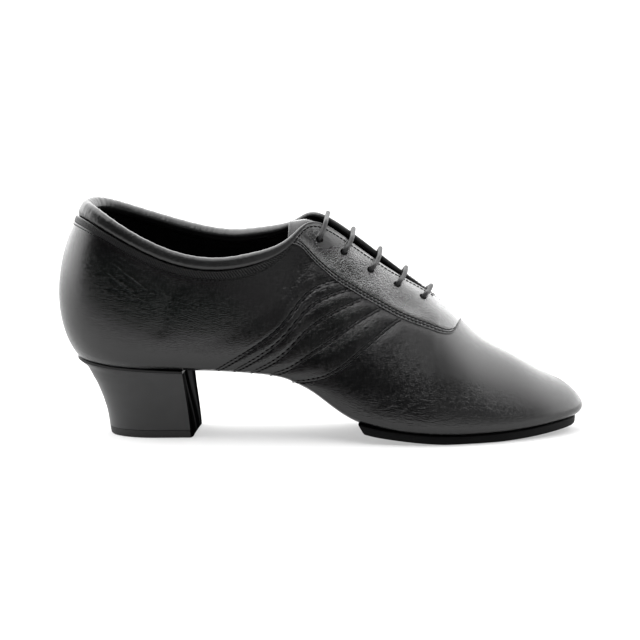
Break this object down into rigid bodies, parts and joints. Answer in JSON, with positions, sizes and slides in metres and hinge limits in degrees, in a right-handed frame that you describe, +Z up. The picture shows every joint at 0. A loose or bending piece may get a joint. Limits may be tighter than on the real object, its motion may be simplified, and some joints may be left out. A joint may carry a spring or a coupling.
{
  "type": "ballroom dance shoe",
  "caption": "Man's black leather lace-up ballroom shoe for the right foot, with a padded collar, a split sole and a tall block heel.",
  "frame": {"origin": "on the floor, in the flat face under the middle of the heel", "axes": "+X runs from the heel to the toe, +Y to the inner (medial) side of the right foot, +Z up"},
  "size_m": [0.2796, 0.0927, 0.1256],
  "materials": {
    "upper_leather": "smooth black nappa leather with a satin shine and fine grain",
    "lining_leather": "soft black lining leather over foam, glossy and finely wrinkled",
    "insole_leather": "matt black sock leather",
    "sole_suede": "matt black split leather with a brushed tread",
    "heel_rand": "thin matt black rand",
    "heel_shell": "black moulded heel, satin to glossy",
    "heel_rubber": "matt black rubber top piece",
    "lace_cord": "thin round waxed black cord"
  },
  "bodies": {
    "root": {"upper": "upper_leather", "sole_pad": "sole_suede", "tongue": "upper_leather", "insole": "insole_leather", "collar_roll": "lining_leather", "heel_rand": "heel_rand", "heel_block": "heel_shell", "heel_lift": "heel_rubber", "lace": "lace_cord"}
  },
  "joints": []
}
